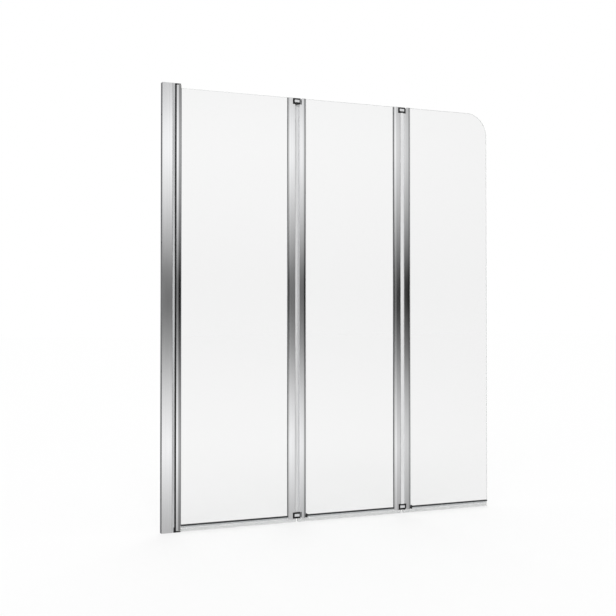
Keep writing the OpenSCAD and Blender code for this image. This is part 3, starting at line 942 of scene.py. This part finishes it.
def end_stop(name, body, node_name):
    """A rubber stop that sits over the lower edge of the glass beside the clamp. Its black is
    painted shade at the foot of the clamp.
    """
    low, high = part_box(node_name)
    stop = box(low, high)
    cut_away(stop, ((low.x - PAST, -GLASS_HALF, GLASS_BOTTOM),
                    (high.x + PAST, GLASS_HALF, high.z + PAST)))
    ease_edges(stop, 0.7 * MM, segments=3)
    # Painted shade: the stop is black for the shade at the clamp's foot.
    finish_piece(stop, name, body, RUBBER, "black_rubber", node_name)


for n in ("1", "2", "3"):
    dark_rail("rail_" + n, "panel_" + n, "seal_rail_" + n)
    soft_fins("fins_" + n, "panel_" + n, "seal_lip_" + n, "seal_rail_" + n)
for n in ("2", "3"):
    end_stop("end_stop_" + n, "panel_" + n, "seal_stop_" + n)


# ---------- finishes of the solids that stay ----------

KEPT = (
    (STEEL, ("adjusting_screws", "pivot_pins", "link_1_pins", "link_2_pins")),
    (WHITE_ACETAL, ("pivot_washers", "pivot_bushes", "bushes_1", "bushes_2", "bushes_3")),
)
for finish, names in KEPT:
    for name in names:
        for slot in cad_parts[name].material_slots:
            slot.material = finish


# ---------- studio ----------

# What gloss mirrors, as pairs of degrees and level. Heights are angles over the horizon. Turns are
# angles round from straight out in front of the screen to the right, away from the wall.
HEIGHT_SPAN, TURN_SPAN = 40, 180
# How much the dark band covers the studio, by height.
BAND = ((-6.4, 0.0), (-4.3, 0.3), (-1.7, 0.79), (0.5, 1.0), (1.9, 0.98), (3.3, 0.74), (5.9, 0.29),
        (8.0, 0.0))
# How bright the studio is, by height and by turn.
FALL = ((-30, 0.85), (-16, 0.7), (-12, 0.47), (-10.7, 0.45), (-8.8, 0.72), (-6.6, 1.0),
        (8.8, 1.0), (9.6, 0.94), (11.6, 0.6), (13.5, 0.56), (18, 0.8), (32, 0.95))
ROOM = ((-180, 1.0), (-150, 0.95), (-125, 0.85), (-90, 0.8), (-60, 0.62), (-35, 0.8), (-15, 0.95),
        (18, 1.0), (24.4, 0.97), (29.7, 0.7), (34, 0.45), (60, 0.38), (125, 0.38), (150, 0.95),
        (180, 1.0))
# How bright the dark band is, by turn.
DARK = ((-180, 0.18), (-150, 0.12), (-125, 0.08), (-90, 0.05), (-60, 0.012), (-40, 0.03),
        (-18, 0.12), (8, 0.16), (18, 0.165), (24.4, 0.14), (29.7, 0.022), (34, 0.005),
        (60, 0.002), (125, 0.002), (150, 0.12), (180, 0.18))

# The floor's paint under the even sky and the suns, and its glow, come to the world's white, so
# that no horizon shows in the glass.
EVEN_SKY = 0.66
FLOOR_PAINT = 0.3
FLOOR_GLOW = 0.655
SUN_WIDTH = 40                      # degrees
WHITE = srgb("#FFFFFF")


def grey_by_angle(tree, angle, span, stops):
    """A grey level by an angle in radians, from stops between -span and span degrees."""
    place = map_range(tree, angle, radians(-span), radians(span))
    ramp = node(tree, "ShaderNodeValToRGB", {0: place})
    row = ramp.color_ramp.elements
    while len(row) > 1:
        row.remove(row[-1])
    for degrees, level in stops:
        share = (degrees + span) / (2 * span)
        stop = row[0] if degrees == stops[0][0] else row.new(share)
        stop.position = share
        stop.color = (level, level, level, 1.0)
    return ramp.outputs[0]


def seen_directly(tree):
    """1 for rays from the camera, also through the glass, and 0 for all others."""
    rays = node(tree, "ShaderNodeLightPath").outputs
    return maths(tree, "MAXIMUM", rays["Is Camera Ray"], rays["Is Transmission Ray"])


def studio_world():
    """White behind the object and through the glass, an even sky for matt surfaces, and for gloss a
    bright studio with a dark band at the horizon that is deeper to the right."""
    world = bpy.data.worlds.new("studio")
    bpy.context.scene.world = world
    world.use_nodes = True
    tree = world.node_tree
    tree.nodes.clear()
    way = node(tree, "ShaderNodeTexCoord").outputs["Generated"]
    x, y, z = node(tree, "ShaderNodeSeparateXYZ", {0: way}).outputs
    height = maths(tree, "ARCSINE", z)
    turn = maths(tree, "ARCTAN2", x, maths(tree, "MULTIPLY", y, -1.0))
    room = grey_by_angle(tree, turn, TURN_SPAN, ROOM)
    fall = grey_by_angle(tree, height, HEIGHT_SPAN, FALL)
    band = grey_by_angle(tree, height, HEIGHT_SPAN, BAND)
    dark = grey_by_angle(tree, turn, TURN_SPAN, DARK)
    mirrored = blend(tree, band, blend(tree, 1.0, room, fall, "MULTIPLY"), dark)
    sky, studio, white = (
        node(tree, "ShaderNodeBackground", {"Color": colour, "Strength": strength}).outputs[0]
        for colour, strength in ((WHITE, EVEN_SKY), (mirrored, 1.0), (WHITE, 1.0)))
    path = node(tree, "ShaderNodeLightPath")
    unseen = node(tree, "ShaderNodeMixShader", {0: path.outputs["Is Glossy Ray"], 1: sky,
                                                2: studio})
    seen = node(tree, "ShaderNodeMixShader", {0: seen_directly(tree), 1: unseen.outputs[0],
                                              2: white})
    node(tree, "ShaderNodeOutputWorld", {"Surface": seen.outputs[0]})
    world.cycles.sampling_method = "NONE"


def soft_sun(name, strength, tilt, turn):
    """A wide soft light from far away, which neither gloss nor the glass shows."""
    select_only()
    bpy.ops.object.light_add(type="SUN", rotation=(radians(tilt), 0, radians(turn)))
    sun = bpy.context.object
    sun.name = name
    sun.data.energy = strength
    sun.data.angle = radians(SUN_WIDTH)
    sun.visible_glossy = False
    sun.visible_transmission = False


def pale_floor():
    """The level of the bath's rim: a wide floor that is white to the eye and keeps the screen's
    shadow."""
    select_only()
    bpy.ops.mesh.primitive_plane_add(size=60, location=(0, 0, -0.5 * MM))
    floor = settle()
    floor.name = "floor"
    finish, tree = blank_material("pale_floor")
    paint = node(tree, "ShaderNodeBsdfDiffuse", {"Color": (FLOOR_PAINT,) * 3 + (1.0,)})
    power = maths(tree, "MULTIPLY", seen_directly(tree), FLOOR_GLOW)
    glow = node(tree, "ShaderNodeEmission", {"Color": WHITE, "Strength": power})
    both = node(tree, "ShaderNodeAddShader", {0: paint.outputs[0], 1: glow.outputs[0]})
    node(tree, "ShaderNodeOutputMaterial", {"Surface": both.outputs[0]})
    floor.data.materials.append(finish)
    floor.visible_glossy = False


studio_world()
soft_sun("key_light", strength=1.7, tilt=58, turn=-30)
soft_sun("back_light", strength=1.2, tilt=60, turn=155)
pale_floor()


# ---------- camera ----------

# Its place and lens follow from the vanishing point of the glass's long edges in the photo, and
# from where the screen's corners fall.
CAMERA_PLACE = (-1.0684, -3.3774, 0.6782)
CAMERA_TILT, CAMERA_TURN = radians(90.96), radians(-24.94)
LENS_MM, SENSOR_MM = 66.154, 36
SHIFT_UP = -0.0209                  # of the picture's width

select_only()
bpy.ops.object.camera_add(location=CAMERA_PLACE, rotation=(CAMERA_TILT, 0, CAMERA_TURN))
camera = bpy.context.object
camera.data.sensor_width = SENSOR_MM
camera.data.lens = LENS_MM
camera.data.shift_y = SHIFT_UP
camera.data.clip_end = 100
camera.data.dof.use_dof = False
bpy.context.scene.camera = camera
bpy.context.scene.view_settings.view_transform = "Standard"
select_only()
